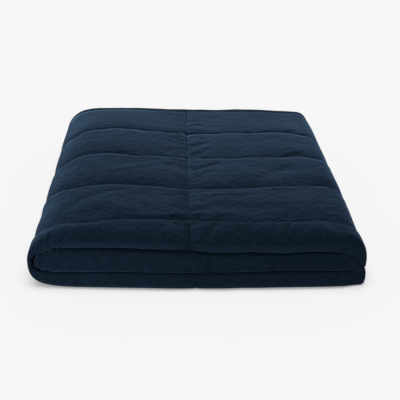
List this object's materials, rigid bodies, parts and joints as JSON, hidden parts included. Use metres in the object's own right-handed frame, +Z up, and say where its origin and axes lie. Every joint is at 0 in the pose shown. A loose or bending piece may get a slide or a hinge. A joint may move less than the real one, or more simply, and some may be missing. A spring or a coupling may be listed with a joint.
{
  "type": "quilted bedspread",
  "caption": "Velvet bedspread quilted in channels, folded in half and then in thirds into a flat stack, for storing on a shelf or laying at the foot of a bed.",
  "frame": {"origin": "middle of the folded stack's box, at the underside that rests on the surface", "axes": "+Z up through the stack, -Y towards the rounded front nose of the fold, +X to the right seen from the front"},
  "size_m": [0.6792, 0.6782, 0.1346],
  "materials": {
    "velvet": "navy blue velvet pile, matt with a soft sheen at grazing angles"
  },
  "bodies": {
    "root": {"bedspread": "velvet"}
  },
  "joints": []
}
